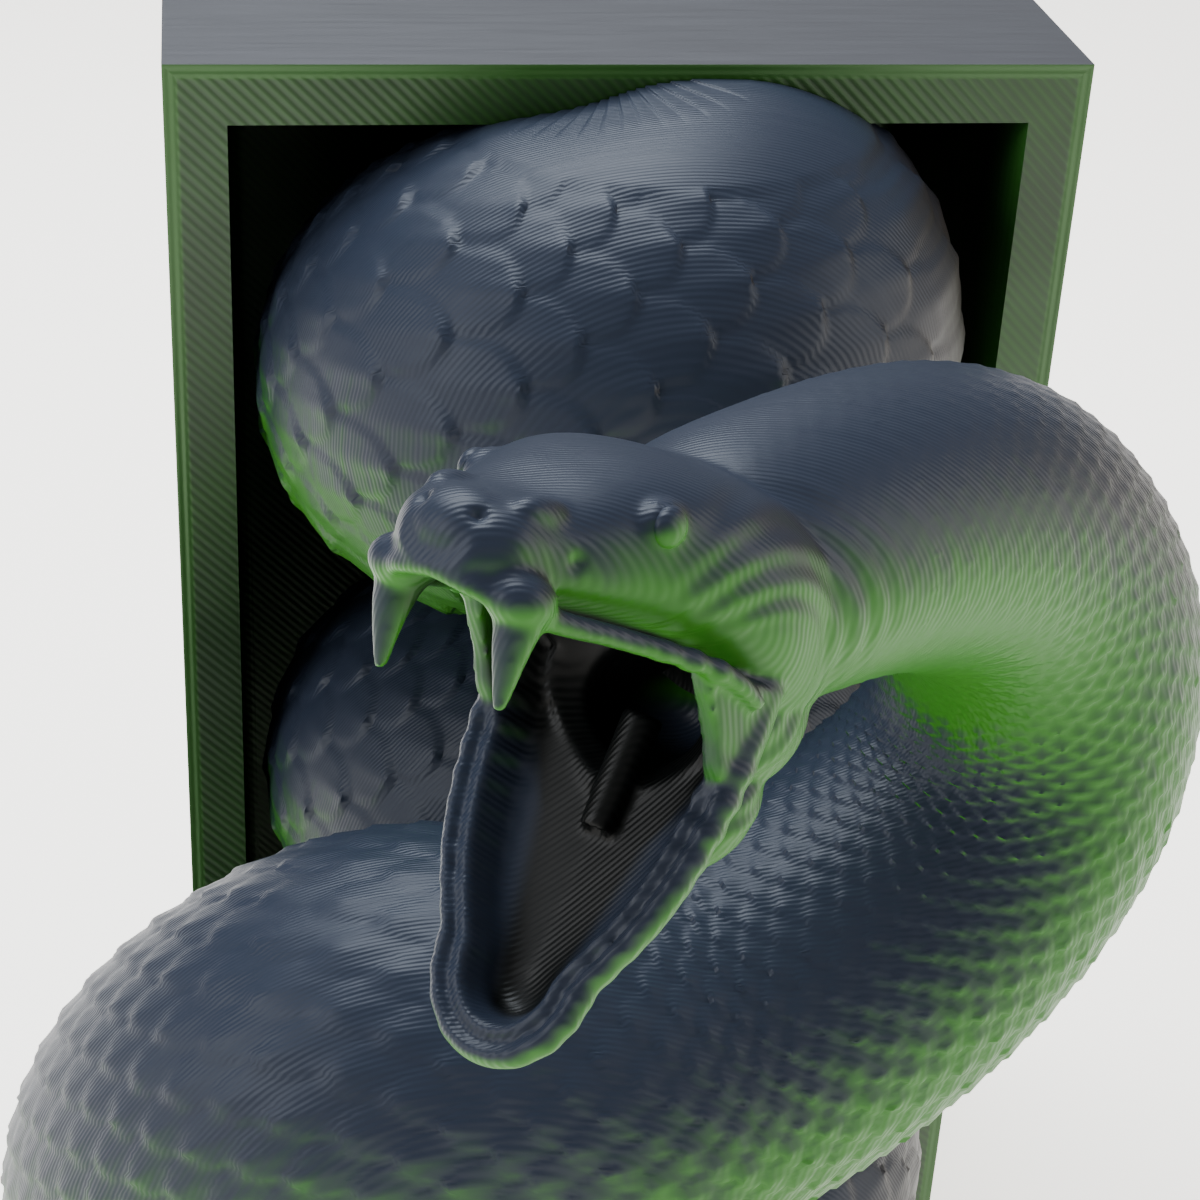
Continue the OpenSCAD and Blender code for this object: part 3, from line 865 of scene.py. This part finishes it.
def tower_print():
    """The tower's print: green hatched front, plain grey top and layer lines along Y, with painted shade
    inside: black, and painted light on the right inner wall near the opening.
    """
    n = Nodes("tower_print")
    place = n.add("ShaderNodeTexCoord")
    nx, ny, nz = n.split(place.outputs["Normal"])
    x, y, z = n.split(place.outputs["Object"])
    streaks = n.noise(place.outputs["Object"], 420, 4, (0.3, 5, 0.3))
    clouds = n.noise(place.outputs["Object"], 90, 3)
    front = n.ramp(n.math("MULTIPLY", ny, -1), 0.4, 0.8)
    depth = n.math("SUBTRACT", y, TOWER_LOW[1] * MM)
    side = n.math("ABSOLUTE", x)
    outside = n.math("GREATER_THAN", side, (TOWER_W / 2 - 0.5) * MM)
    lip_x = n.math("SUBTRACT", TOWER_W / 2 * MM, side)
    lip_z = n.math("MINIMUM", n.math("SUBTRACT", TOWER_HIGH[2] * MM, z), z)
    edge = n.math("MINIMUM", lip_x, lip_z)
    perimeter = n.math("SUBTRACT", 1, n.ramp(edge, 0.5 * MM, 0.9 * MM))
    hatch = n.waves(n.math("ADD", x, z), 0.7 * MM)
    hatch = n.math("MULTIPLY", hatch, n.math("SUBTRACT", 1, perimeter))
    rings = n.math("MULTIPLY", n.waves(edge, 0.45 * MM), perimeter)
    relief_front = n.math("MULTIPLY", n.math("ADD", hatch, rings), 0.5)
    layers = n.math("MULTIPLY", n.waves(y, LAYER), 0.25)
    relief_sides = n.math("MULTIPLY", layers, n.math("SUBTRACT", 1, n.ramp(nz, 0.5, 0.9)))
    relief = n.mix(front, relief_sides, relief_front)
    shade = n.math("MULTIPLY_ADD", hatch, 0.1, n.math("MULTIPLY", clouds, 0.9))
    face = n.mix(n.ramp(n.math("ADD", shade, perimeter), 0.15, 0.95), *FACE_GREENS)
    # painted light and shade inside: the inner walls are painted black as shade, and the right inner wall is
    # painted green only near the opening, where light falls in
    light_from_opening = n.math("SUBTRACT", 1, n.ramp(depth, 0, 7 * MM))
    inner = n.mix(n.math("MULTIPLY", light_from_opening, n.ramp(nx, -0.2, -0.7)), SHADOW_BLACK, LIT_INNER_GREEN)
    mottle = n.math("ADD", clouds, n.math("MULTIPLY", streaks, 0.4))
    flank = n.mix(n.ramp(mottle, 0.45, 0.95), *FLANK_GREENS)
    shell = n.mix(outside, inner, flank)
    top = n.ramp(n.math("MULTIPLY", nz, n.math("GREATER_THAN", z, (TOWER_HIGH[2] - 1) * MM)), 0.5, 0.9)
    shell = n.mix(top, shell, TOP_GREY)
    back = n.math("GREATER_THAN", depth, (TOWER_HIGH[1] - TOWER_LOW[1] - 0.5) * MM)
    shell = n.mix(back, shell, BACK_GREY)
    n.link(n.mix(front, shell, face), n.shader.inputs["Base Color"])
    n.link(n.math("MULTIPLY_ADD", streaks, 0.25, 0.3), n.shader.inputs["Roughness"])
    n.set(Metallic=0.25, Specular_IOR_Level=0.6)
    n.bump(relief, 0.02 * MM)
    return n.material


def steel():
    """Ground steel with fine marks round the part."""
    n = Nodes("steel")
    place = n.add("ShaderNodeTexCoord")
    marks = n.noise(place.outputs["Object"], 900, 3, (1, 1, 14))
    n.link(n.mix(marks, (0.42, 0.43, 0.45), (0.68, 0.69, 0.71)), n.shader.inputs["Base Color"])
    n.link(n.math("MULTIPLY_ADD", marks, 0.25, 0.18), n.shader.inputs["Roughness"])
    n.set(Metallic=1.0)
    n.bump(marks, 0.01 * MM)
    return n.material


def nylon():
    """Natural nylon, slightly clouded."""
    n = Nodes("nylon")
    place = n.add("ShaderNodeTexCoord")
    clouds = n.noise(place.outputs["Object"], 500, 3)
    n.link(n.mix(clouds, (0.62, 0.6, 0.54), (0.82, 0.8, 0.74)), n.shader.inputs["Base Color"])
    n.link(n.math("MULTIPLY_ADD", clouds, 0.2, 0.4), n.shader.inputs["Roughness"])
    n.set(Subsurface_Weight=0.1)
    n.bump(clouds, 0.01 * MM)
    return n.material


def o_ring_rubber():
    """Matt black rubber with a faint grain."""
    n = Nodes("o_ring_rubber")
    place = n.add("ShaderNodeTexCoord")
    grain = n.noise(place.outputs["Object"], 2500, 2)
    n.link(n.mix(grain, (0.012, 0.012, 0.012), (0.03, 0.03, 0.03)), n.shader.inputs["Base Color"])
    n.link(n.math("MULTIPLY_ADD", grain, 0.2, 0.6), n.shader.inputs["Roughness"])
    n.bump(grain, 0.01 * MM)
    return n.material


MATERIALS = {maker.__name__: maker() for maker in (tower_print, steel, nylon, o_ring_rubber)}
MATERIALS["coil_print"] = snake_print("coil_print", -0.15, 0.5, -0.14)
MATERIALS["snake_print"] = snake_print("snake_print", -0.55, 0.2, 0.2)


# ---- the pieces ----------------------------------------------------------------------------
def body_holding(node):
    return next(name for name, nodes in frame["record"]["behaviour"]["bodies"].items() if node in nodes)


def place_skin(maker, material, node):
    """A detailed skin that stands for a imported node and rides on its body."""
    piece = finish_mesh(maker(), MATERIALS[material])
    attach(piece, body_holding(node))
    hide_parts(node)
    return piece


place_skin(top_coil, "coil_print", "top_coil")
place_skin(middle_coil, "coil_print", "middle_coil")
place_skin(lower_coil, "coil_print", "lower_coil")
place_skin(fore_body, "snake_print", "fore_body")

SLOTS = {row["node"]: row["material_slot"] for row in frame["record"]["subparts"]}
for name, node in frame["nodes"].items():
    node.data.materials.clear()
    node.data.materials.append(MATERIALS[SLOTS[name]])


def soften_edges(node, width):
    """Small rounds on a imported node's edges, as a modifier."""
    weld = node.modifiers.new("weld", "WELD")
    weld.merge_threshold = 0.001 * MM
    bevel = node.modifiers.new("bevel", "BEVEL")
    bevel.width = width * MM
    bevel.segments = 3
    bevel.limit_method = "ANGLE"
    bevel.angle_limit = math.radians(40)
    bevel.harden_normals = True


soften_edges(frame["nodes"]["box_shell"], 0.25)


# ---- floor, light and camera ---------------------------------------------------------------
def plain(name, colour, roughness, glow=0.0):
    n = Nodes(name)
    n.set(Base_Color=(*colour, 1), Roughness=roughness, Emission_Color=(*colour, 1), Emission_Strength=glow)
    return n.material


def floor():
    size = 3000
    corners = [(-size, -size, 0), (size, -size, 0), (size, size, 0), (-size, size, 0)]
    made = new_object("floor", corners, [[0, 1, 2, 3]])
    made.data.materials.append(plain("pale_floor", (1, 0.955, 0.89), 0.8, 1.5))


def area_light(name, at, aim, size, power, colour=(1, 1, 1)):
    """Square light of a size in millimetres, at a place and pointing at another."""
    lamp = bpy.data.lights.new(name, "AREA")
    lamp.size = size * MM
    lamp.energy = power
    lamp.color = colour
    made = bpy.data.objects.new(name, lamp)
    made.location = Vector(at) * MM
    made.rotation_euler = (Vector(aim) - Vector(at)).to_track_quat("-Z", "Y").to_euler()
    bpy.context.scene.collection.objects.link(made)


def lights():
    middle = (0, -25, 50)
    area_light("above", (-60, 120, 420), middle, 300, 4.2, (0.86, 0.93, 1))
    area_light("left", (-380, -160, 220), middle, 260, 1.3, (0.96, 0.98, 1))
    area_light("right", (360, -120, 160), middle, 260, 0.9, (1, 0.98, 0.94))
    world = bpy.data.worlds.new("studio")
    world.use_nodes = True
    world.node_tree.nodes["Background"].inputs["Color"].default_value = (1, 0.99, 0.965, 1)
    world.node_tree.nodes["Background"].inputs["Strength"].default_value = 0.4
    bpy.context.scene.world = world


def camera():
    """Looks down at the tower's open front from a little to its left, and leans slightly."""
    yaw, pitch, roll = (math.radians(a) for a in (9.60, 29.71, 3.07))
    ahead = Vector((math.sin(yaw) * math.cos(pitch), math.cos(yaw) * math.cos(pitch), -math.sin(pitch)))
    level = Vector((math.cos(yaw), -math.sin(yaw), 0))
    upright = level.cross(ahead)
    right = level * math.cos(roll) + upright * math.sin(roll)
    up = upright * math.cos(roll) - level * math.sin(roll)
    lens = bpy.data.cameras.new("camera")
    lens.lens = 78.1
    lens.sensor_width = 36
    lens.clip_start = 0.005
    made = bpy.data.objects.new("camera", lens)
    at = TOP_FRONT + TOWER_W * np.array([-0.4576, -2.6326, 0.8711])
    turned = Matrix((right, up, -ahead)).transposed().to_4x4()
    made.matrix_world = Matrix.Translation(Vector(at) * MM) @ turned
    bpy.context.scene.collection.objects.link(made)
    bpy.context.scene.camera = made


floor()
lights()
camera()
